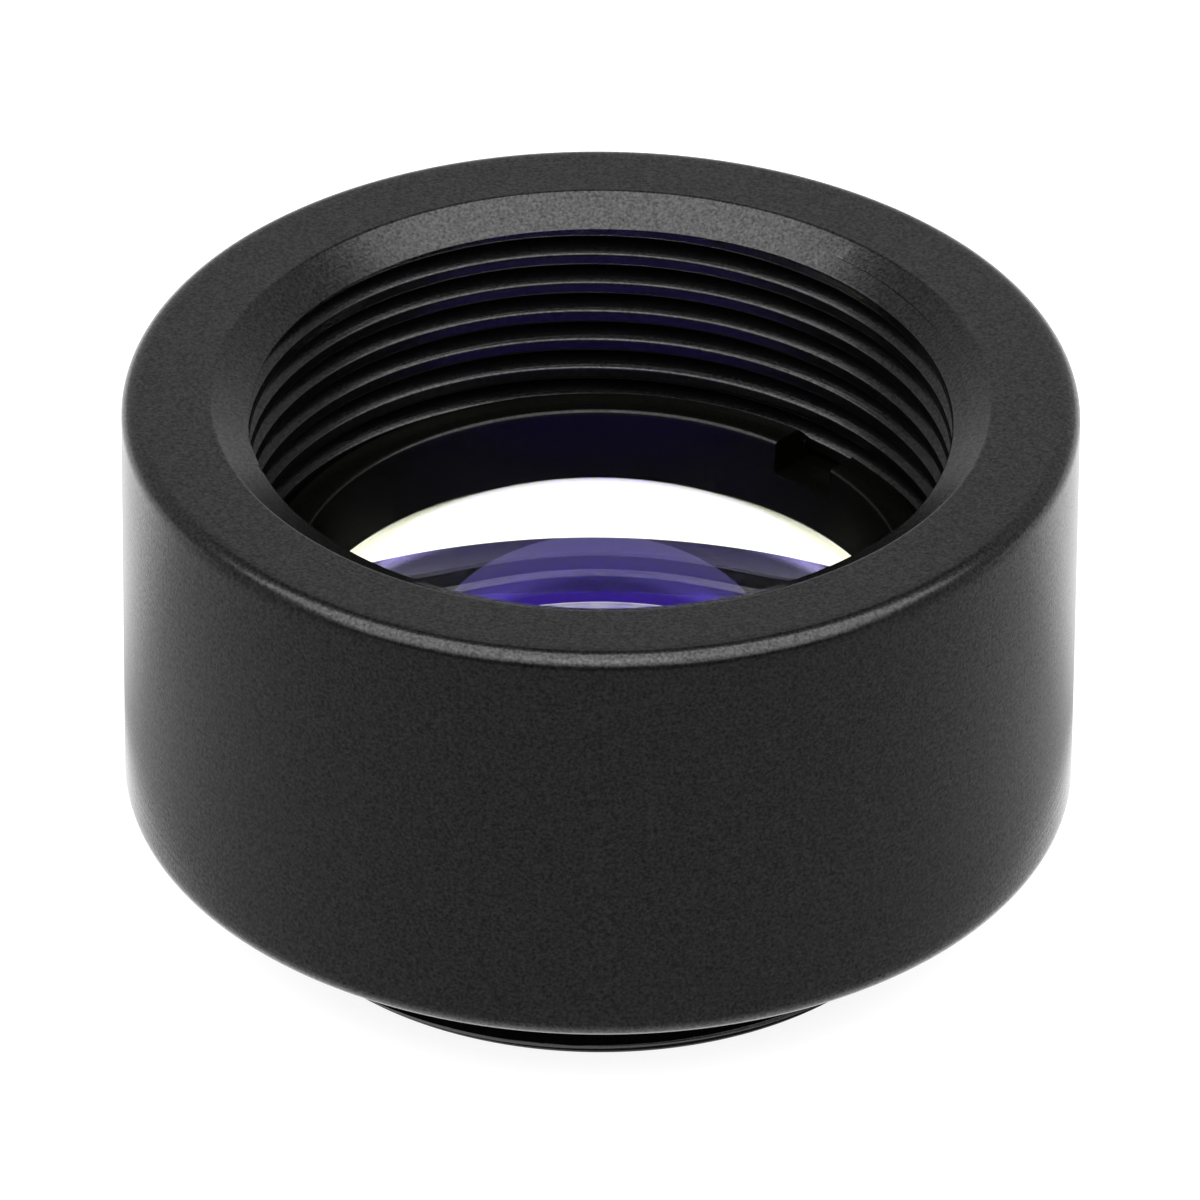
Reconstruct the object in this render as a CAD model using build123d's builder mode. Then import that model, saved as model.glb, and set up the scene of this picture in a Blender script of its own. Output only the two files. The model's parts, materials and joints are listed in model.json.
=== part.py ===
from build123d import *

import math
import os

# A glass aspheric lens in a threaded metal cell, held by a slotted retaining ring.
# Units are millimetres. The origin is the middle of the cell's lower end, on which the
# cell stands, and +Z runs up the optical axis towards the open, internally threaded end.
# Widths follow each other inwards by named walls: barrel, thread, lens, seat, aperture.

# The cell's barrel and its edges
barrel_diameter = 17.8
barrel_height = 8.4
barrel_top_edge_radius = 0.28
barrel_bottom_edge_radius = 0.35

# One 60 degree thread serves the boss outside, the bore inside and the retaining ring
barrel_wall = 2.105
thread_pitch = 0.635
thread_entry_width = 0.455
thread_entry_slope = 30.0
engaged_thread_clearance = 0.03
thread_run_out = 0.25
screw_in_margin = 0.1

# The boss under the barrel, and the way that light takes through it
boss_height = 2.0
boss_end_chamfer = 0.45
aperture_edge_break = 0.1
lens_seat_width = 0.75
seat_height = 2.25

# The lens, which drops in through the thread: a conic dome over a flat face
lens_drop_in_clearance = 0.2
lens_pocket_clearance = 0.05
lens_centre_thickness = 4.8
lens_edge_bevel = 0.15
dome_vertex_radius = 7.82
dome_conic_constant = -0.6

# The retaining ring and its two spanner slots
ring_wall = 0.93
ring_height = 1.7
ring_seat_chamfer = 0.15
ring_top_chamfer = 0.3
ring_inner_edge_break = 0.06
slot_width = 1.4
slot_depth = 0.7
slot_direction = 47.0


def dome_sag(radius):
    """Depth of the conic dome below its vertex at a radius from the optical axis."""
    bend = math.sqrt(1 - (1 + dome_conic_constant) * (radius / dome_vertex_radius) ** 2)
    return radius**2 / (dome_vertex_radius * (1 + bend))


# The thread's basic profile: flanks meet halfway up the teeth, at the pitch cylinder
sharp_tooth_height = math.sqrt(3) / 2 * thread_pitch
thread_major_radius = barrel_diameter / 2 - barrel_wall
pitch_radius = thread_major_radius - 3 / 8 * sharp_tooth_height
thread_minor_radius = thread_major_radius - 5 / 8 * sharp_tooth_height

# Radii inside the thread
lens_radius = thread_minor_radius - lens_drop_in_clearance
aperture_radius = lens_radius - lens_seat_width
ring_outer_radius = pitch_radius - engaged_thread_clearance
ring_inner_radius = ring_outer_radius - ring_wall

# Heights above the lower end. A part screwed in from above goes down until it meets the
# ring or the dome, whichever stands higher. The thread is free, and drawn at its major
# diameter, down to there. Below, and on the ring, it is drawn at the pitch cylinder.
cell_height = boss_height + barrel_height
dome_top = seat_height + lens_centre_thickness
ring_bottom = dome_top - dome_sag(ring_inner_radius + ring_seat_chamfer)
ring_top = ring_bottom + ring_height
engaged_thread_bottom = ring_bottom - thread_run_out
free_thread_bottom = max(ring_top, dome_top) + screw_in_margin

os.makedirs("parts", exist_ok=True)

# The cell is turned from one bar: a barrel with a smaller threaded boss below it
with BuildPart() as housing:
    with BuildSketch():
        Circle(thread_major_radius)
    extrude(amount=boss_height)
    chamfer(housing.edges().group_by(Axis.Z)[0], length=boss_end_chamfer)

    with BuildSketch(Plane.XY.offset(boss_height)):
        Circle(barrel_diameter / 2)
    extrude(amount=barrel_height)
    fillet(housing.edges().group_by(Axis.Z)[-1], radius=barrel_top_edge_radius)
    barrel_underside = housing.edges().filter_by_position(Axis.Z, boss_height, boss_height)
    fillet(barrel_underside.sort_by(SortBy.RADIUS)[-1], radius=barrel_bottom_edge_radius)

    # Bored from above in steps: the free thread, the thread that holds the ring, the pocket
    with BuildSketch(Plane.XY.offset(free_thread_bottom)):
        Circle(thread_major_radius)
    extrude(amount=cell_height - free_thread_bottom, mode=Mode.SUBTRACT)
    with BuildSketch(Plane.XY.offset(engaged_thread_bottom)):
        Circle(pitch_radius)
    extrude(amount=free_thread_bottom - engaged_thread_bottom, mode=Mode.SUBTRACT)
    with BuildSketch(Plane.XY.offset(seat_height)):
        Circle(lens_radius + lens_pocket_clearance)
    extrude(amount=engaged_thread_bottom - seat_height, mode=Mode.SUBTRACT)
    with BuildSketch():
        Circle(aperture_radius)
    extrude(amount=seat_height, mode=Mode.SUBTRACT)

    # Lead-in for the free thread, at a slope to the rim, and the aperture's lower edge
    rim = housing.faces().sort_by(Axis.Z)[-1]
    thread_mouth = rim.edges().sort_by(SortBy.RADIUS)[0]
    chamfer(thread_mouth, length=thread_entry_width, angle=thread_entry_slope, reference=rim)
    aperture_mouth = housing.edges().group_by(Axis.Z)[0].sort_by(SortBy.RADIUS)[0]
    chamfer(aperture_mouth, length=aperture_edge_break)

housing.part.label = "housing"
export_step(housing.part, "parts/housing.step")

# A conic whose constant lies between -1 and 0 is the end of an ellipse that stands on end,
# so the dome's profile is an elliptical arc from the rim to the vertex
with BuildPart() as aspheric_lens:
    with BuildSketch(Plane.XZ):
        with BuildLine():
            half_height = dome_vertex_radius / (1 + dome_conic_constant)
            half_width = dome_vertex_radius / math.sqrt(1 + dome_conic_constant)
            rim_angle = math.degrees(math.acos(lens_radius / half_width))
            dome = EllipticalCenterArc(
                center=(0, dome_top - half_height),
                x_radius=half_width,
                y_radius=half_height,
                start_angle=rim_angle,
                arc_size=90 - rim_angle,
            )
            Polyline(dome @ 1, (0, seat_height), (lens_radius, seat_height), dome @ 0)
        make_face()
    revolve(axis=Axis.Z)
    chamfer(aspheric_lens.edges().group_by(Axis.Z)[0], length=lens_edge_bevel)

aspheric_lens.part.label = "aspheric_lens"
export_step(aspheric_lens.part, "parts/aspheric_lens.step")

# The ring screws down on the dome, which it meets at the outer edge of its conical seat
with BuildPart() as retaining_ring:
    with BuildSketch(Plane.XY.offset(ring_bottom)):
        Circle(ring_outer_radius)
        Circle(ring_inner_radius, mode=Mode.SUBTRACT)
    extrude(amount=ring_height)
    lower_edges = retaining_ring.edges().group_by(Axis.Z)[0].sort_by(SortBy.RADIUS)
    chamfer(lower_edges[0], length=ring_seat_chamfer)
    upper_edges = retaining_ring.edges().group_by(Axis.Z)[-1].sort_by(SortBy.RADIUS)
    chamfer(upper_edges[-1], length=ring_top_chamfer)
    chamfer(upper_edges[0], length=ring_inner_edge_break)

    # One cut straight across makes both spanner slots
    with BuildSketch(Plane.XY.offset(ring_top)):
        Rectangle(2 * ring_outer_radius + slot_width, slot_width, rotation=slot_direction)
    extrude(amount=-slot_depth, mode=Mode.SUBTRACT)

retaining_ring.part.label = "retaining_ring"
export_step(retaining_ring.part, "parts/retaining_ring.step")
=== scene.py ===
import json
import math

import bmesh
import bpy
import numpy as np
from bpy.props import FloatProperty, FloatVectorProperty, IntProperty, PointerProperty
from mathutils import Matrix, Vector


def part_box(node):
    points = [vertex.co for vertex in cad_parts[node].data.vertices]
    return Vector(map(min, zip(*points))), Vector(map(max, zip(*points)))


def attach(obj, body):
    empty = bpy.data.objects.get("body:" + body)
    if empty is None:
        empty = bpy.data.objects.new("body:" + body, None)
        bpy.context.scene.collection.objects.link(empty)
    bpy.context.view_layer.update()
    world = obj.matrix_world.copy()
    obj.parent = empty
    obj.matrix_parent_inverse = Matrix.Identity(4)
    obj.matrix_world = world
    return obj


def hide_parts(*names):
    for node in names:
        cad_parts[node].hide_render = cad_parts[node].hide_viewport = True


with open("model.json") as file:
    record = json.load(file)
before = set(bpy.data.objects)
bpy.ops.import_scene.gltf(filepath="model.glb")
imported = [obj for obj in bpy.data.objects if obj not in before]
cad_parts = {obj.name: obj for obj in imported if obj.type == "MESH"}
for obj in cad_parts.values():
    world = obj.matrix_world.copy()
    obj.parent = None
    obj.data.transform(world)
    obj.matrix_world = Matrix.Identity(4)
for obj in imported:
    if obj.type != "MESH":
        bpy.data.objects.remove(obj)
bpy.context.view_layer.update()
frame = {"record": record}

bl_info = {
    "name": "Mounted Aspheric Lens",
    "version": (1, 0, 0),
    "blender": (4, 5, 0),
    "location": "3D View > Sidebar > Lens",
    "description": "Cuts the threads, grinds the dome and finishes the cell of a mounted lens",
    "category": "Object",
}

MM = 0.001
TURN = 2 * math.pi

# Faces that meet at more than this angle keep a sharp edge between them
SHARP_ANGLE = math.radians(32)

# Points nearer than this, in metres, are merged
WELD_DISTANCE = 2e-7

# Rounding of turned edges that hardly show
SMALL_ROUNDING = 0.02 * MM

# The table lies this far under the part, so that the two don't share a plane
TABLE_GAP = 0.02 * MM

# The overhead light, as degrees from the horizon behind the part, over the zenith, towards the camera's
# side, each with the share of its brightness that shows there
OVERHEAD_RAMP = (
    (0, 0.0),
    (56, 0.0),
    (59, 0.105),
    (70, 0.105),
    (78, 0.9),
    (124, 0.95),
    (144, 0.6),
    (160, 0.0),
)

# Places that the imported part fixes
HOUSING_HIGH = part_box("housing")[1]
LENS_LOW, LENS_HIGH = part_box("aspheric_lens")
RING_LOW, RING_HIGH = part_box("retaining_ring")
MOUNTS = {mount["name"]: mount for mount in frame["record"]["mounts"]}


def mount_radius(name):
    """The wall radius of one of the part's round mounts, in metres."""
    return MOUNTS[name]["dims"]["r_mm"] * MM


def length(name, default, description):
    """A size that the sidebar shows with its unit."""
    return FloatProperty(
        name=name,
        description=description,
        default=default,
        unit="LENGTH",
        subtype="DISTANCE",
        precision=6,
    )


def rotation(name, default, description):
    """An angle that the sidebar shows in degrees."""
    return FloatProperty(name=name, description=description, default=default, unit="ROTATION")


def number(name, default, description):
    """A plain number."""
    return FloatProperty(name=name, description=description, default=default)


def swatch(name, default, description):
    """A colour that the sidebar shows as a swatch."""
    return FloatVectorProperty(name=name, description=description, default=default, subtype="COLOR")


def facets(name, default, least, description):
    """A count of facets, with the least that still gives the shape."""
    return IntProperty(name=name, description=description, default=default, min=least)


class ThreadSettings(bpy.types.PropertyGroup):
    """The 60 degree thread that the boss, the bore and the retaining ring share."""

    major_radius: length("Major radius", mount_radius("external_thread"), "Radius of the boss's crests")
    bore_crest_radius: length("Bore crest radius", 6.53 * MM, "Radius of the bore's crests")
    bore_crest_width: length("Bore crest width", 0.22 * MM, "Width of the flat on the bore's crests")
    bore_root_width: length("Bore root width", 0.01 * MM, "Width of the flat in the bore's roots")
    pitch: length("Pitch", 0.635 * MM, "Rise of the thread in one turn")
    crest_height_behind: length(
        "Crest height", 9.3025 * MM, "Height of the middle of a bore crest at the back of the part"
    )
    crest_rounding: length("Crest rounding", 0.045 * MM, "Radius of a crest's worn corners")
    ring_play: length("Ring play", 0.04 * MM, "Radial gap between the bore's thread and the ring's")


class HousingSettings(bpy.types.PropertyGroup):
    """The turned cell."""

    barrel_radius: length("Barrel radius", HOUSING_HIGH.x, "Outer radius of the barrel")
    height: length("Height", HOUSING_HIGH.z, "Height of the cell over its lower end")
    shoulder_height: length("Shoulder height", MOUNTS["shoulder"]["pos_m"][2], "Underside of the barrel")
    top_fillet: length("Top edge", 0.34 * MM, "Radius of the barrel's upper edge")
    bottom_fillet: length("Bottom edge", 0.35 * MM, "Radius of the barrel's lower edge")
    mouth_radius: length("Mouth radius", 7.25 * MM, "Radius of the thread's lead-in at the top face")
    mouth_slope: rotation("Mouth slope", math.radians(30), "Slope of the lead-in to the top face")
    mouth_rounding: length("Mouth edge", 0.12 * MM, "Radius of the edge between top face and lead-in")
    pocket_radius: length("Pocket radius", LENS_HIGH.x + 0.05 * MM, "Radius of the lens's pocket")
    thread_run_out: length("Thread run-out", 0.25 * MM, "How far the thread runs on below the ring")
    aperture_radius: length("Aperture radius", mount_radius("clear_aperture"), "Radius of the clear way")
    boss_chamfer: length("Boss chamfer", 0.45 * MM, "Chamfer at the boss's end")
    aperture_break: length("Aperture break", 0.1 * MM, "Chamfer at the aperture's lower edge")
    columns: facets("Columns", 384, 48, "Facets round the cell")


class LensSettings(bpy.types.PropertyGroup):
    """The glass."""

    radius: length("Radius", LENS_HIGH.x, "Radius of the glass")
    vertex_radius: length("Vertex radius", 7.82 * MM, "Radius of curvature at the dome's vertex")
    conic_constant: number("Conic constant", -0.6, "Shape of the dome: 0 is a sphere, -1 a paraboloid")
    bevel: length("Bevel", 0.15 * MM, "Bevel at the flat face's edge")
    edge_roughness: number("Edge roughness", 0.45, "Roughness of the ground edge")
    glass_ior: number("Index", 1.79, "Refractive index of the glass")
    coating: FloatVectorProperty(
        name="Coating",
        description="What the coating leaves of the bare glass's reflection in red, green and blue",
        size=3,
        default=(0.18, 0.07, 1.4),
    )
    rows: facets("Rows", 84, 8, "Facets from the dome's rim to its vertex")
    columns: facets("Columns", 360, 48, "Facets round the glass")


class RingSettings(bpy.types.PropertyGroup):
    """The ring that holds the glass."""

    inner_radius: length("Inner radius", 5.629 * MM, "Radius of the ring's bore")
    top_chamfer: length("Top chamfer", 0.3 * MM, "Chamfer on the outer upper edge")
    edge_break: length("Edge break", 0.03 * MM, "Radius that breaks the sharp turned edges")
    seat_chamfer: length("Seat chamfer", 0.15 * MM, "Chamfer that meets the dome")
    seat_rounding: length("Seat edge", 0.1 * MM, "Radius of the edge between bore and seat chamfer")
    inner_break: length("Inner edge", 0.09 * MM, "Radius of the inner upper edge")
    slot_width: length("Slot width", 1.4 * MM, "Width of the spanner slots")
    slot_depth: length("Slot depth", 0.7 * MM, "Depth of the spanner slots")
    slot_direction: rotation("Slot direction", math.radians(47), "Direction of the slots from +X")
    columns: facets("Columns", 360, 48, "Facets round the ring")
    slot_columns: facets("Slot columns", 12, 2, "Facets across a slot")


class FinishSettings(bpy.types.PropertyGroup):
    """The black anodised skin."""

    housing_colour: swatch("Cell colour", (0.0008, 0.0008, 0.00084), "Colour of the cell's skin")
    housing_sheen: number("Cell sheen", 0.25, "Strength of the cell's reflection")
    housing_speckle: number("Cell speckle", 1.0, "Strength of the cell's grain")
    ring_colour: swatch("Ring colour", (0.0008, 0.0008, 0.0006), "Colour of the ring's skin")
    ring_sheen: number("Ring sheen", 0.13, "Strength of the ring's reflection")
    ring_speckle: number("Ring speckle", 0.7, "Strength of the ring's grain")
    roughness: number("Roughness", 0.2, "Roughness of the satin skin")
    lines: number("Turning lines", 0.6, "Strength of the lathe's lines")
    grain_scale: number("Grain scale", 16000.0, "Grains per metre")
    line_scale: number("Line scale", 15000.0, "Turning lines per metre")
    grain_contrast: number("Grain contrast", 2.6, "How much brighter the light grains are")
    relief: length("Relief", 0.005 * MM, "Height of the grain and the lines")


class StageSettings(bpy.types.PropertyGroup):
    """Camera, floor and light."""

    elevation: rotation("Elevation", 0.5794, "How far the camera looks down")
    roll: rotation("Roll", 0.0074, "Turn of the camera about its view")
    distance: length("Distance", 308.763 * MM, "From the camera to the point that it looks at")
    target_side: length("Target side", 0.01 * MM, "How far to the right of the axis that point lies")
    target_height: length("Target height", 5.884 * MM, "Height of the point that the camera looks at")
    focal_length: number("Focal length", 495.5, "Lens on a 36 mm sensor, in mm")
    floor_size: length("Floor size", 1.2, "Half the width of the floor")
    floor_grey: number("Floor grey", 0.2, "How much of the light the floor scatters")
    floor_seen: number("Floor seen", 0.85, "Glow of the floor for the camera")
    floor_through_glass: number("Floor through glass", 1.7, "Glow of the floor through the lens")
    floor_in_front: number("Floor in front", 0.15, "Glow of the floor in front, as the metal mirrors it")
    floor_behind: number("Floor behind", 0.8, "Glow of the floor behind, as the metal mirrors it")
    floor_at_foot: number("Floor at foot", 1.3, "Glow of the floor round the foot, as the metal mirrors it")
    room_low: number("Low room", 0.85, "Brightness of the room up to 44 degrees above the horizon")
    room_high: number("High room", 0.05, "Brightness of the room from 50 degrees up")
    room_in_front: number("Room in front", 0.35, "Share of the room's light left on the camera's side")
    overhead: number("Overhead", 7.0, "Brightness of the soft light overhead")
    key_elevation: rotation("Key elevation", math.radians(57), "Height of the key light in the sky")
    key_distance: length("Key distance", 0.6, "From the key light to the part's foot")
    key_size: length("Key size", 0.3, "Width of the key light")
    key_power: number("Key power", 0.6, "Power of the key light in watts")


def fixed_path(corners, columns, steps=3):
    """A path that is the same all the way round, as radius and height arrays with a row for each column.

    Each corner is (radius, height, rounding). A rounding of zero keeps the point. Else an arc of that
    radius, tangent to both sides, takes the corner's place, and a point just before and after it holds
    the flat sides flat. A point on the arc is its centre plus both end spokes, each times the sine of the
    angle to the other spoke over the sine of the whole. The first and last corners are kept as points.
    """
    places = np.array([corner[:2] for corner in corners], float)
    pieces = [places[:1]]
    for before, place, after, corner in zip(places, places[1:], places[2:], corners[1:]):
        rounding = corner[2]
        if rounding == 0:
            pieces.append(place[None])
            continue
        back = (before - place) / np.linalg.norm(before - place)
        ahead = (after - place) / np.linalg.norm(after - place)
        half_opening = math.acos(np.clip(back @ ahead, -1, 1)) / 2
        reach = rounding / math.tan(half_opening)
        middle = (back + ahead) / np.linalg.norm(back + ahead)
        centre = place + middle * rounding / math.sin(half_opening)
        start = place + back * reach - centre
        across = place + ahead * reach - centre
        share = np.linspace(0, 1, steps + 1)[:, None]
        sweep = math.pi - 2 * half_opening
        arc = (np.sin((1 - share) * sweep) * start + np.sin(share * sweep) * across) / math.sin(sweep)
        support = 1.35 * reach
        pieces += [(place + back * support)[None], centre + arc, (place + ahead * support)[None]]
    pieces.append(places[-1:])
    points = np.concatenate(pieces)
    ones = np.ones((columns, 1))
    return points[:, 0] * ones, points[:, 1] * ones


def thread_corners(thread, bore):
    """One pitch of the thread's section, as heights over the middle of an inner flat, and radii.

    The flanks stand at 30 degrees to a plane across the axis. On a boss the inner flats are roots, a
    quarter of the pitch wide, and the outer ones are crests, an eighth of it wide. In a bore the inner
    flats are its crests and the outer ones its roots. A crest's two corners are rounded.
    """
    pitch, rounding = thread.pitch, thread.crest_rounding
    inner = thread.bore_crest_width / 2 if bore else pitch / 8
    outer = pitch / 2 - (thread.bore_root_width / 2 if bore else pitch / 16)
    depth = math.sqrt(3) * (outer - inner)
    minor = thread.bore_crest_radius if bore else thread.major_radius - depth
    major = minor + depth
    corners = [
        (major, -pitch / 2, 0),
        (major, -outer, 0 if bore else rounding),
        (minor, -inner, rounding if bore else 0),
        (minor, inner, rounding if bore else 0),
        (major, outer, 0 if bore else rounding),
        (major, pitch / 2, 0),
    ]
    radii, heights = fixed_path(corners, 1, steps=2)
    return heights[0], radii[0]


def thread_surface(thread, angles, low, high, cone, bore, play=0.0):
    """A helical thread between two heights, as radius and height arrays with a row for each angle.

    Rows follow the helix, so their height is the height at angle zero plus pitch times angle over a full
    turn. Rows past the ends are held at the ends, and take the radius that the thread has there. The
    lead-in cone is (radius, height, slope), its radius at a height and its growth with height. In a bore
    the larger of thread and cone is what is left, and on a boss the smaller. Each long side of the
    section that isn't nearly parallel to the cone has a row where it crosses it, at its foot's height
    plus the gap between cone and side there over the difference of their slopes. Play shrinks the
    thread's radius. High may differ from angle to angle.
    """
    pitch = thread.pitch
    heights, radii = thread_corners(thread, bore)
    radii = radii - play
    start = thread.crest_height_behind - pitch / 4
    first = math.floor((low - start) / pitch) - 2
    last = math.ceil((np.max(high) - start) / pitch) + 2
    lift = start + pitch * angles[:, None] / TURN

    def radius_at(height):
        phase = np.mod(height - lift + pitch / 2, pitch) - pitch / 2
        return np.interp(phase, heights, radii)

    def cone_at(height):
        return cone[0] + cone[2] * (height - cone[1])

    sides = np.diff(heights)
    slopes = np.diff(radii) / sides
    long_enough, apart = sides > 0.03 * pitch, np.abs(slopes - cone[2]) > 0.1
    crossed = long_enough & apart
    rows = []
    for turn in range(first, last + 1):
        base = lift + turn * pitch
        for index in range(len(heights) - 1):
            foot = base + heights[index]
            rows.append(foot)
            if crossed[index]:
                crossing = foot + (cone_at(foot) - radii[index]) / (slopes[index] - cone[2])
                rows.append(np.clip(crossing, foot, base + heights[index + 1]))
    height = np.clip(np.concatenate(rows, axis=1), low, high)
    radius = radius_at(height)
    edge = cone_at(height)
    return (np.maximum(radius, edge) if bore else np.minimum(radius, edge)), height


def turned_mesh(name, radius, height, angle):
    """A closed mesh from a section carried round the axis.

    x is radius times cosine of angle and y is radius times sine. The arrays hold a row for each column of
    facets and a column for each point of the section, which runs counter-clockwise with the axis on its
    left. The last column of facets meets the first, and points that coincide are merged.
    """
    columns, rows = radius.shape
    points = np.stack((radius * np.cos(angle), radius * np.sin(angle), height), axis=-1).reshape(-1, 3)
    column, row = np.meshgrid(np.arange(columns - 1), np.arange(rows), indexing="ij")
    after = (row + 1) % rows
    quads = np.stack(
        (column * rows + row, (column + 1) * rows + row, (column + 1) * rows + after, column * rows + after),
        axis=-1,
    ).reshape(-1, 4)
    mesh = bpy.data.meshes.new(name)
    mesh.from_pydata(points, [], quads)
    shape = bmesh.new()
    shape.from_mesh(mesh)
    bmesh.ops.remove_doubles(shape, verts=shape.verts, dist=WELD_DISTANCE)
    bmesh.ops.dissolve_degenerate(shape, edges=shape.edges, dist=WELD_DISTANCE)
    loose = [edge for edge in shape.edges if not edge.link_faces]
    bmesh.ops.delete(shape, geom=loose, context="EDGES")
    shape.to_mesh(mesh)
    shape.free()
    mesh.validate()
    mesh.polygons.foreach_set("use_smooth", np.ones(len(mesh.polygons), bool))
    mesh.set_sharp_from_angle(angle=SHARP_ANGLE)
    return mesh


def add_piece(name, mesh, node, material):
    """Puts a finished mesh in the scene in place of the part's own node."""
    piece = bpy.data.objects.new(name, mesh)
    bpy.context.scene.collection.objects.link(piece)
    mesh.materials.append(material)
    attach(piece, "root")
    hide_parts(node)


def housing_mesh(housing, thread):
    """The cell's section, all the way round: bore thread, pocket, aperture, boss thread and barrel.

    The lead-in falls by the tangent of its slope as it runs inwards from the top face. The bore's rows
    start below the rounding between the two, which reaches its radius times the tangent of half the slope.
    """
    columns = housing.columns + 1
    angle = np.linspace(0, TURN, columns)
    top, shoulder = housing.height, housing.shoulder_height
    fall = math.tan(housing.mouth_slope)
    mouth_low = 0.9 * housing.mouth_rounding * math.tan(housing.mouth_slope / 2)
    lead_in = (housing.mouth_radius, top, 1 / fall)
    bore_low = RING_LOW.z - housing.thread_run_out
    bore_radius, bore_height = thread_surface(thread, angle, bore_low, top - mouth_low, lead_in, True)
    seat = LENS_LOW.z
    aperture, break_size = housing.aperture_radius, housing.aperture_break
    boss_end = thread.major_radius - housing.boss_chamfer
    inside = fixed_path(
        [
            (thread.major_radius, bore_low, 0),
            (housing.pocket_radius, bore_low, SMALL_ROUNDING),
            (housing.pocket_radius, seat, 0),
            (aperture, seat, SMALL_ROUNDING),
            (aperture, break_size, SMALL_ROUNDING),
            (aperture + break_size, 0, SMALL_ROUNDING),
            (boss_end, 0, 0),
        ],
        columns,
    )
    boss_radius, boss_height = thread_surface(thread, angle, 0.0, shoulder, (boss_end, 0.0, 1.0), False)
    barrel = housing.barrel_radius
    outside = fixed_path(
        [
            (thread.major_radius, shoulder, 0),
            (barrel, shoulder, housing.bottom_fillet),
            (barrel, top, housing.top_fillet),
            (housing.mouth_radius, top, housing.mouth_rounding),
            (housing.mouth_radius - mouth_low / fall, top - mouth_low, 0),
        ],
        columns,
        steps=8,
    )
    bore, boss = (bore_radius, bore_height), (boss_radius, boss_height)
    radius, height = (
        np.concatenate((bore[i][:, ::-1], inside[i][:, 1:-1], boss[i], outside[i][:, 1:-1]), axis=1)
        for i in range(2)
    )
    return turned_mesh("turned_cell", radius, height, angle[:, None])


def dome_sag(lens, radius):
    """Depth of the conic dome below its vertex: r squared over R times one plus a root, where the root
    is that of one minus (1 + k) times r squared over R squared."""
    root = np.sqrt(1 - (1 + lens.conic_constant) * (radius / lens.vertex_radius) ** 2)
    return radius**2 / (lens.vertex_radius * (1 + root))


def lens_mesh(lens):
    """The glass: a flat face, a bevel, a cylinder and a conic dome, turned about the optical axis.

    The dome's rows stand at the rim's radius times the sines of even steps from a right angle to zero.
    """
    columns = lens.columns + 1
    angle = np.linspace(0, TURN, columns)[:, None]
    flat, rim = LENS_LOW.z, LENS_HIGH.z - dome_sag(lens, lens.radius)
    dome_radius = lens.radius * np.sin(np.linspace(0, math.pi / 2, lens.rows + 1))[::-1]
    dome_height = LENS_HIGH.z - dome_sag(lens, dome_radius)
    section = np.array(
        [
            (0.0, flat),
            (lens.radius - lens.bevel, flat),
            (lens.radius, flat + lens.bevel),
            (lens.radius, rim),
        ]
    )
    radius = np.concatenate((section[:, 0], dome_radius[1:]))
    height = np.concatenate((section[:, 1], dome_height[1:]))
    ones = np.ones((columns, 1))
    return turned_mesh("aspheric_glass", radius * ones, height * ones, angle)


def ring_mesh(ring, thread):
    """The retaining ring. Near a slot the columns bend so that they lie along its parallel walls.

    At a radius r a wall stands at the angle whose sine is half the slot's width over r. A column's angle
    is a fixed share of the turn plus a multiple of that angle. In a slot the section is held at or below
    the slot's floor. The path round the bore starts and ends on the outer thread, which has its own rows.
    """
    gap = np.linspace(0, 1, ring.columns // 2 + 1)
    across = np.linspace(-1, 1, ring.slot_columns + 1)
    late, early = gap[gap >= 0.5], gap[gap <= 0.5]
    turns = (late, 1 + 0 * across, 1 + gap, 2 + 0 * across, 2 + early)
    base = ring.slot_direction + math.pi * np.concatenate(turns)
    share = np.concatenate((1 - 2 * late, across, 1 - 2 * gap, across, 1 - 2 * early))
    slotted = np.repeat([False, True, False, True, False], [len(part) for part in turns])
    low, top, soft = RING_LOW.z, RING_HIGH.z, ring.edge_break
    flat = RING_HIGH.x - ring.top_chamfer
    limit = np.where(slotted, top - ring.slot_depth, top - soft)[:, None]

    def wall_angle(radius):
        return np.arcsin(ring.slot_width / 2 / radius)

    outer_angle = base + share * wall_angle(thread.major_radius)
    outer_radius, outer_height = thread_surface(
        thread, outer_angle, low, limit, (flat, top, -1.0), False, thread.ring_play
    )
    inner = ring.inner_radius
    radius, height = fixed_path(
        [
            (flat + 3 * soft, top - 3 * soft, 0),
            (flat, top, soft),
            (inner, top, ring.inner_break),
            (inner, low + ring.seat_chamfer, ring.seat_rounding),
            (inner + ring.seat_chamfer, low, SMALL_ROUNDING),
            (thread.major_radius, low, 0),
        ],
        len(base),
        steps=4,
    )
    radius, height = radius[:, 1:-1], height[:, 1:-1]
    height = np.where(slotted[:, None], np.minimum(height, limit), height)
    angle = base[:, None] + share[:, None] * wall_angle(radius)
    angle = np.concatenate((outer_angle[:, None] + 0 * outer_radius, angle), axis=1)
    radius = np.concatenate((outer_radius, radius), axis=1)
    height = np.concatenate((outer_height, height), axis=1)
    return turned_mesh("slotted_ring", radius, height, angle)


def add_node(nodes, kind, **values):
    """Adds a shader node. Values name its properties, or its inputs with the spaces as underscores."""
    node = nodes.new(kind)
    for name, value in values.items():
        if hasattr(node, name):
            setattr(node, name, value)
        else:
            node.inputs[name.replace("_", " ")].default_value = value
    return node


def maths(tree, operation, first, second=None, third=None):
    """Adds a Math node whose inputs are links or numbers, and returns its output."""
    node = add_node(tree.nodes, "ShaderNodeMath", operation=operation)
    for socket, value in zip(node.inputs, (first, second, third)):
        if value is None:
            continue
        if isinstance(value, (int, float)):
            socket.default_value = value
        else:
            tree.links.new(value, socket)
    return node.outputs[0]


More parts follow.
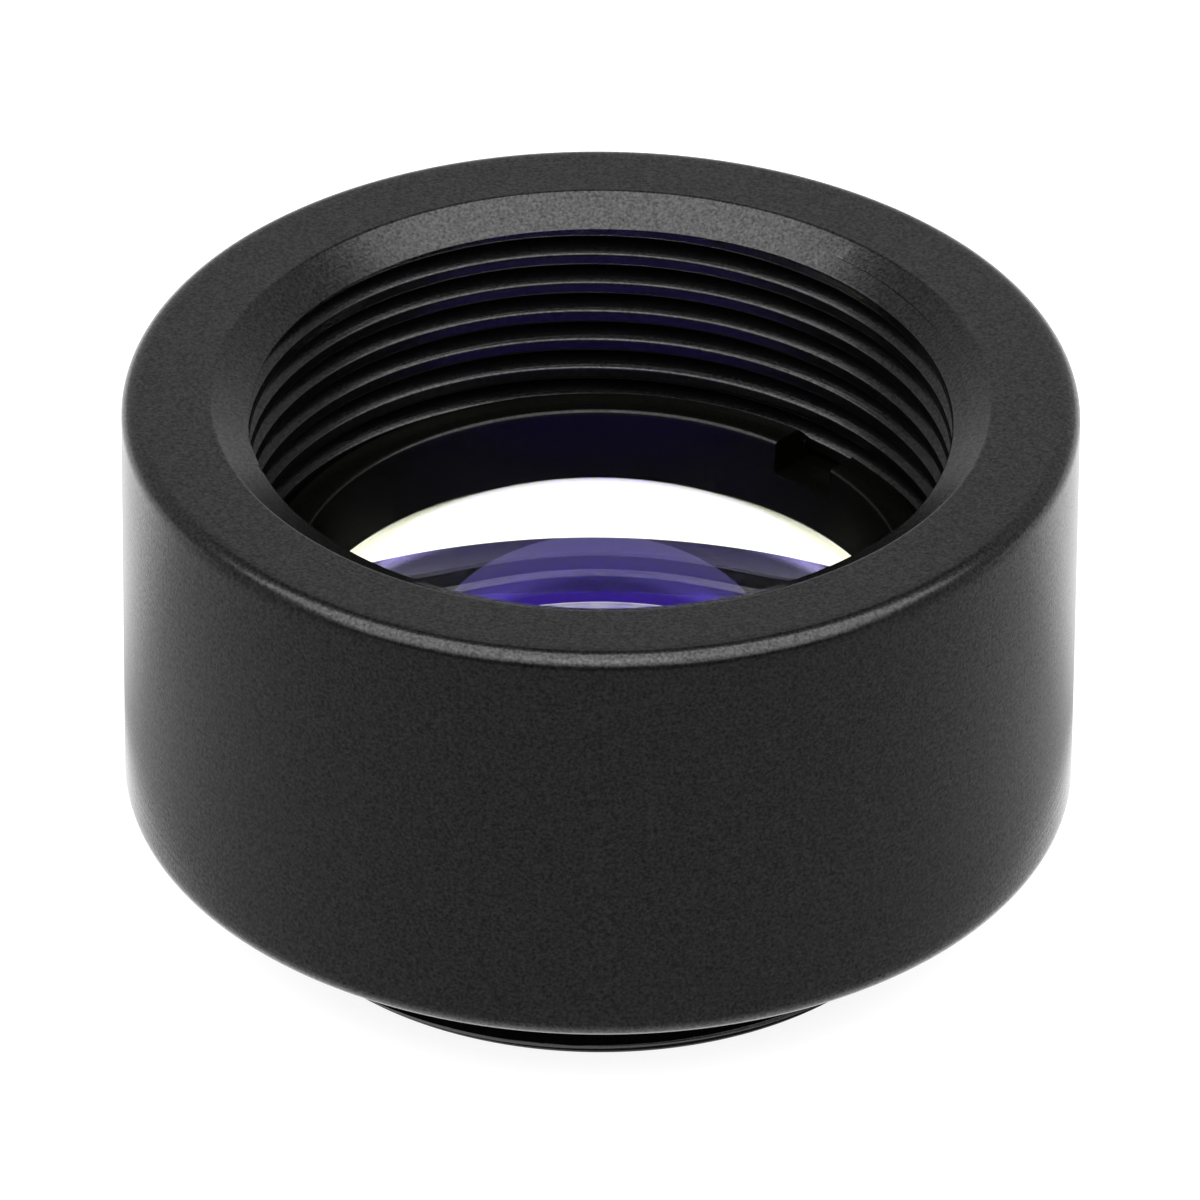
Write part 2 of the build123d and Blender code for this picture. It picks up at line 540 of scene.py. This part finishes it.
def point_axes(tree, coordinates):
    """The shaded point's x, y and z in a kind of texture coordinates, and those coordinates themselves."""
    place = add_node(tree.nodes, "ShaderNodeTexCoord").outputs[coordinates]
    split = add_node(tree.nodes, "ShaderNodeSeparateXYZ")
    tree.links.new(place, split.inputs[0])
    return split.outputs, place


def axis_distance(tree, axes):
    """The shaded point's distance from the optical axis, the root of x squared plus y squared."""
    across = maths(tree, "POWER", axes["X"], 2.0)
    along = maths(tree, "POWER", axes["Y"], 2.0)
    return maths(tree, "SQRT", maths(tree, "ADD", across, along))


def new_group(name, inputs, outputs):
    """A shader node group, with its input and output nodes, from the names and kinds of its sockets."""
    group = bpy.data.node_groups.new(name, "ShaderNodeTree")
    for side, sockets in (("INPUT", inputs), ("OUTPUT", outputs)):
        for label, kind in sockets.items():
            group.interface.new_socket(name=label, in_out=side, socket_type="NodeSocket" + kind)
    return group, group.nodes.new("NodeGroupInput"), group.nodes.new("NodeGroupOutput")


def anodised_group(finish):
    """The skin of anodised, turned metal: a fine speckle and the lathe's lines.

    The lines are a one-dimensional noise of the distance from the axis plus most of the height, so they
    are rings on a flat face and circles round a wall. The speckle scales the colour, as one plus the
    contrast times the grain, and the coat, with twice that contrast. It also shifts the roughness.
    """
    group, entry, result = new_group(
        "Anodised skin",
        {"Colour": "Color", "Roughness": "Float", "Coat": "Float", "Speckle": "Float", "Lines": "Float"},
        {"Colour": "Color", "Roughness": "Float", "Coat": "Float", "Normal": "Vector"},
    )
    nodes, links = group.nodes, group.links
    axes, place = point_axes(group, "Object")
    speckle = add_node(
        nodes, "ShaderNodeTexNoise", Scale=finish.grain_scale, Detail=3.0, Roughness=0.6
    )
    links.new(place, speckle.inputs["Vector"])
    lines = add_node(
        nodes, "ShaderNodeTexNoise", noise_dimensions="1D", Scale=finish.line_scale, Detail=2.0
    )
    links.new(maths(group, "MULTIPLY_ADD", axes["Z"], 0.8, axis_distance(group, axes)), lines.inputs["W"])

    def about_zero(noise, strength):
        """A noise less a half, times a strength."""
        return maths(group, "MULTIPLY", maths(group, "SUBTRACT", noise.outputs["Fac"], 0.5), strength)

    def contrasted(contrast, least):
        """One plus the grain times a contrast, and never under the least."""
        return maths(group, "MAXIMUM", maths(group, "MULTIPLY_ADD", grain, contrast, 1.0), least)

    grain = about_zero(speckle, entry.outputs["Speckle"])
    ridges = about_zero(lines, entry.outputs["Lines"])
    bump = add_node(nodes, "ShaderNodeBump", Strength=0.8, Distance=finish.relief)
    links.new(maths(group, "ADD", grain, ridges), bump.inputs["Height"])
    rough = maths(group, "MULTIPLY_ADD", grain, 0.25, entry.outputs["Roughness"])
    coat = maths(group, "MULTIPLY", contrasted(2 * finish.grain_contrast, 0.0), entry.outputs["Coat"])
    colour = add_node(nodes, "ShaderNodeVectorMath", operation="SCALE")
    links.new(entry.outputs["Colour"], colour.inputs[0])
    links.new(contrasted(finish.grain_contrast, 0.2), colour.inputs["Scale"])
    for label, socket in (
        ("Colour", colour.outputs[0]),
        ("Roughness", rough),
        ("Coat", coat),
        ("Normal", bump.outputs["Normal"]),
    ):
        links.new(socket, result.inputs[label])
    return group


def principled(name):
    """A new material, with its node tree and its Principled shader."""
    material = bpy.data.materials.new(name)
    material.use_nodes = True
    return material, material.node_tree, material.node_tree.nodes["Principled BSDF"]


def anodised_material(name, colour, sheen, speckle, finish):
    """Satin black anodised aluminium. Half of its reflection is the shader's own, the same everywhere.
    The other half is a coat that the grain makes patchy, of a weight equal to the sheen."""
    material, tree, shader = principled(name)
    shader.inputs["Specular IOR Level"].default_value = sheen / 2
    shader.inputs["Coat Roughness"].default_value = finish.roughness
    skin = tree.nodes.new("ShaderNodeGroup")
    skin.node_tree = bpy.data.node_groups.get("Anodised skin") or anodised_group(finish)
    for label, value in (
        ("Colour", (*colour, 1)),
        ("Roughness", finish.roughness),
        ("Coat", sheen),
        ("Speckle", speckle),
        ("Lines", finish.lines),
    ):
        skin.inputs[label].default_value = value
    for label, socket in (
        ("Colour", "Base Color"),
        ("Roughness", "Roughness"),
        ("Coat", "Coat Weight"),
        ("Normal", "Normal"),
    ):
        tree.links.new(skin.outputs[label], shader.inputs[socket])
    return material


def glass_material(lens):
    """Clear coated glass with a ground edge, which is all that lies within a hundredth of a millimetre of
    the glass's radius. The coating for the near infrared reflects more blue light than bare glass does,
    less than a fifth of the red and hardly any green."""
    material, tree, shader = principled("coated_glass")
    shader.inputs["Base Color"].default_value = (1, 1, 1, 1)
    shader.inputs["Transmission Weight"].default_value = 1.0
    shader.inputs["IOR"].default_value = lens.glass_ior
    shader.inputs["Specular Tint"].default_value = (*lens.coating, 1)
    axes, _ = point_axes(tree, "Object")
    edge = maths(tree, "GREATER_THAN", axis_distance(tree, axes), lens.radius - 0.01 * MM)
    tree.links.new(maths(tree, "MULTIPLY", edge, lens.edge_roughness), shader.inputs["Roughness"])
    return material


def map_range(tree, value, low, high, start, end):
    """Adds a smooth Map Range node on a value, and returns its output."""
    node = add_node(tree.nodes, "ShaderNodeMapRange", interpolation_type="SMOOTHSTEP")
    for name, level in (("From Min", low), ("From Max", high), ("To Min", start), ("To Max", end)):
        node.inputs[name].default_value = level
    tree.links.new(value, node.inputs["Value"])
    return node.outputs["Result"]


def emission_mix(tree, camera, glossy, transmission):
    """Strength of a glow with a level each for camera, glossy and transmission rays: the highest of those
    that the ray is."""
    path = add_node(tree.nodes, "ShaderNodeLightPath")
    seen = maths(tree, "MULTIPLY", path.outputs["Is Camera Ray"], camera)
    shine = maths(tree, "MULTIPLY", path.outputs["Is Glossy Ray"], glossy)
    through = maths(tree, "MULTIPLY", path.outputs["Is Transmission Ray"], transmission)
    return maths(tree, "MAXIMUM", maths(tree, "MAXIMUM", seen, shine), through)


def floor_material(stage):
    """A pale table that glows evenly for the camera and through the glass.

    What metal mirrors of it is dim in front of the part and bright behind it, and also bright in a ring
    under the barrel's edge, from just outside the boss to just outside the barrel.
    """
    material, tree, shader = principled("pale_table")
    grey = stage.floor_grey
    shader.inputs["Base Color"].default_value = (grey, grey, grey, 1)
    shader.inputs["Roughness"].default_value = 0.9
    shader.inputs["Specular IOR Level"].default_value = 0.0
    axes, _ = point_axes(tree, "Object")
    distance = axis_distance(tree, axes)
    behind = map_range(tree, axes["Y"], 3 * MM, 10 * MM, stage.floor_in_front, stage.floor_behind)
    outer = map_range(tree, distance, 10 * MM, 12 * MM, stage.floor_at_foot, 0.0)
    inner = map_range(tree, distance, 6.9 * MM, 7.4 * MM, 0.05, 1.0)
    mirrored = maths(tree, "MAXIMUM", behind, maths(tree, "MULTIPLY", outer, inner))
    strength = emission_mix(tree, stage.floor_seen, mirrored, stage.floor_through_glass)
    shader.inputs["Emission Color"].default_value = (1, 1, 1, 1)
    tree.links.new(strength, shader.inputs["Emission Strength"])
    return material


def studio_world(stage):
    """White for the camera. Everything else sees a white room, and a broad soft light overhead.

    The room is bright up to about 47 degrees above the horizon and dark above it, and dimmer on the
    camera's side. The overhead light is a ramp of the angle that runs from the horizon behind, over the
    zenith, to the horizon on the camera's side, and it fades out towards both sides. The brighter of the
    two is what shows.
    """
    world = bpy.data.worlds.new("studio")
    world.use_nodes = True
    tree = world.node_tree
    background = tree.nodes["Background"]
    axes, _ = point_axes(tree, "Generated")
    up, behind = axes["Z"], axes["Y"]
    dusk, dark = math.sin(math.radians(44)), math.sin(math.radians(50))
    band = map_range(tree, up, dusk, dark, stage.room_low, stage.room_high)
    share = map_range(tree, behind, -0.7, -0.2, stage.room_in_front, 1.0)
    room = maths(tree, "MULTIPLY", band, share)
    turn = maths(tree, "DIVIDE", maths(tree, "ARCTAN2", up, behind), math.pi)
    ramp = add_node(tree.nodes, "ShaderNodeValToRGB")
    ramp.color_ramp.interpolation = "EASE"
    while len(ramp.color_ramp.elements) < len(OVERHEAD_RAMP):
        ramp.color_ramp.elements.new(0.5)
    for element, (degrees, level) in zip(ramp.color_ramp.elements, OVERHEAD_RAMP):
        element.position = degrees / 180
        element.color = (level, level, level, 1)
    tree.links.new(turn, ramp.inputs["Fac"])
    aside = maths(tree, "ABSOLUTE", axes["X"])
    sides = map_range(tree, aside, 0.7, 0.9, stage.overhead, 0.0)
    overhead = maths(tree, "MULTIPLY", ramp.outputs["Color"], sides)
    camera = add_node(tree.nodes, "ShaderNodeLightPath").outputs["Is Camera Ray"]
    light = maths(tree, "MAXIMUM", room, overhead)
    unseen = maths(tree, "MULTIPLY", light, maths(tree, "SUBTRACT", 1.0, camera))
    tree.links.new(maths(tree, "ADD", unseen, camera), background.inputs["Strength"])
    background.inputs["Color"].default_value = (1, 1, 1, 1)
    bpy.context.scene.world = world


def from_front(elevation):
    """Unit direction from the part towards the camera's side, at an elevation over the horizon."""
    return Vector((0, -math.cos(elevation), math.sin(elevation)))


def add_key(stage):
    """The key light: a square area lamp above the camera's side, aimed at the middle of the part's foot."""
    lamp = bpy.data.lights.new("key", "AREA")
    lamp.shape = "SQUARE"
    lamp.size = stage.key_size
    lamp.energy = stage.key_power
    direction = from_front(stage.key_elevation)
    aim = direction.to_track_quat("Z", "Y").to_matrix().to_4x4()
    holder = bpy.data.objects.new("key", lamp)
    holder.matrix_world = Matrix.Translation(direction * stage.key_distance) @ aim
    bpy.context.scene.collection.objects.link(holder)


def add_camera(stage):
    """The camera looks along +Y and down, from its distance, at a point close to the part's axis."""
    camera = bpy.data.cameras.new("camera")
    camera.lens = stage.focal_length
    camera.sensor_width = 36.0
    camera.clip_end = 10.0
    holder = bpy.data.objects.new("camera", camera)
    turn = Matrix.Rotation(math.pi / 2 - stage.elevation, 4, "X") @ Matrix.Rotation(stage.roll, 4, "Z")
    target = Vector((stage.target_side, 0, stage.target_height))
    place = target + from_front(stage.elevation) * stage.distance
    holder.matrix_world = Matrix.Translation(place) @ turn
    bpy.context.scene.collection.objects.link(holder)
    bpy.context.scene.camera = holder


def add_table(stage):
    """A flat square of two by two quads under the part's foot."""
    steps = np.linspace(-stage.floor_size, stage.floor_size, 3)
    x, y = np.meshgrid(steps, steps, indexing="ij")
    points = np.stack((x, y, 0 * x - TABLE_GAP), axis=-1).reshape(-1, 3)
    quads = [(i, i + 3, i + 4, i + 1) for i in (0, 1, 3, 4)]
    mesh = bpy.data.meshes.new("table")
    mesh.from_pydata(points, [], quads)
    mesh.materials.append(floor_material(stage))
    table = bpy.data.objects.new("table", mesh)
    bpy.context.scene.collection.objects.link(table)


class LENS_CELL_OT_turn_cell(bpy.types.Operator):
    """Turn the cell, with both its threads"""

    bl_idname = "lens_cell.turn_cell"
    bl_label = "Turn the cell"

    def execute(self, context):
        scene = context.scene
        mesh = housing_mesh(scene.lens_housing, scene.lens_thread)
        finish = scene.lens_finish
        colour, sheen, speckle = finish.housing_colour, finish.housing_sheen, finish.housing_speckle
        material = anodised_material("black_anodised_cell", colour, sheen, speckle, finish)
        add_piece("turned_cell", mesh, "housing", material)
        return {"FINISHED"}


class LENS_CELL_OT_grind_lens(bpy.types.Operator):
    """Grind the aspheric glass"""

    bl_idname = "lens_cell.grind_lens"
    bl_label = "Grind the lens"

    def execute(self, context):
        lens = context.scene.lens_glass
        add_piece("aspheric_glass", lens_mesh(lens), "aspheric_lens", glass_material(lens))
        return {"FINISHED"}


class LENS_CELL_OT_cut_ring(bpy.types.Operator):
    """Cut the slotted retaining ring"""

    bl_idname = "lens_cell.cut_ring"
    bl_label = "Cut the retaining ring"

    def execute(self, context):
        scene = context.scene
        mesh = ring_mesh(scene.lens_ring, scene.lens_thread)
        finish = scene.lens_finish
        colour, sheen, speckle = finish.ring_colour, finish.ring_sheen, finish.ring_speckle
        material = anodised_material("black_anodised_ring", colour, sheen, speckle, finish)
        add_piece("slotted_ring", mesh, "retaining_ring", material)
        return {"FINISHED"}


class LENS_CELL_OT_set_stage(bpy.types.Operator):
    """Set the table, the light and the camera"""

    bl_idname = "lens_cell.set_stage"
    bl_label = "Set the stage"

    def execute(self, context):
        scene = context.scene
        stage = scene.lens_stage
        add_table(stage)
        studio_world(stage)
        add_key(stage)
        add_camera(stage)
        scene.view_settings.view_transform = "Standard"
        return {"FINISHED"}


class LENS_CELL_PT_panel(bpy.types.Panel):
    """The sizes and the steps, in the order in which they are done"""

    bl_idname = "LENS_CELL_PT_panel"
    bl_label = "Mounted lens"
    bl_space_type = "VIEW_3D"
    bl_region_type = "UI"
    bl_category = "Lens"

    def draw(self, context):
        for name in SETTINGS:
            box = self.layout.box()
            group = getattr(context.scene, name)
            for prop in group.bl_rna.properties:
                if not prop.is_readonly and prop.identifier not in {"name", "rna_type"}:
                    box.prop(group, prop.identifier)
        for operator in OPERATORS:
            self.layout.operator(operator.bl_idname)


SETTINGS = {
    "lens_thread": ThreadSettings,
    "lens_housing": HousingSettings,
    "lens_glass": LensSettings,
    "lens_ring": RingSettings,
    "lens_finish": FinishSettings,
    "lens_stage": StageSettings,
}
OPERATORS = (
    LENS_CELL_OT_turn_cell,
    LENS_CELL_OT_grind_lens,
    LENS_CELL_OT_cut_ring,
    LENS_CELL_OT_set_stage,
)


def register():
    for kind in (*SETTINGS.values(), *OPERATORS, LENS_CELL_PT_panel):
        bpy.utils.register_class(kind)
    for name, kind in SETTINGS.items():
        setattr(bpy.types.Scene, name, PointerProperty(type=kind))


def unregister():
    for name in SETTINGS:
        delattr(bpy.types.Scene, name)
    for kind in reversed((*SETTINGS.values(), *OPERATORS, LENS_CELL_PT_panel)):
        bpy.utils.unregister_class(kind)


def main():
    register()
    bpy.ops.lens_cell.turn_cell()
    bpy.ops.lens_cell.grind_lens()
    bpy.ops.lens_cell.cut_ring()
    bpy.ops.lens_cell.set_stage()


if __name__ == "__main__":
    main()
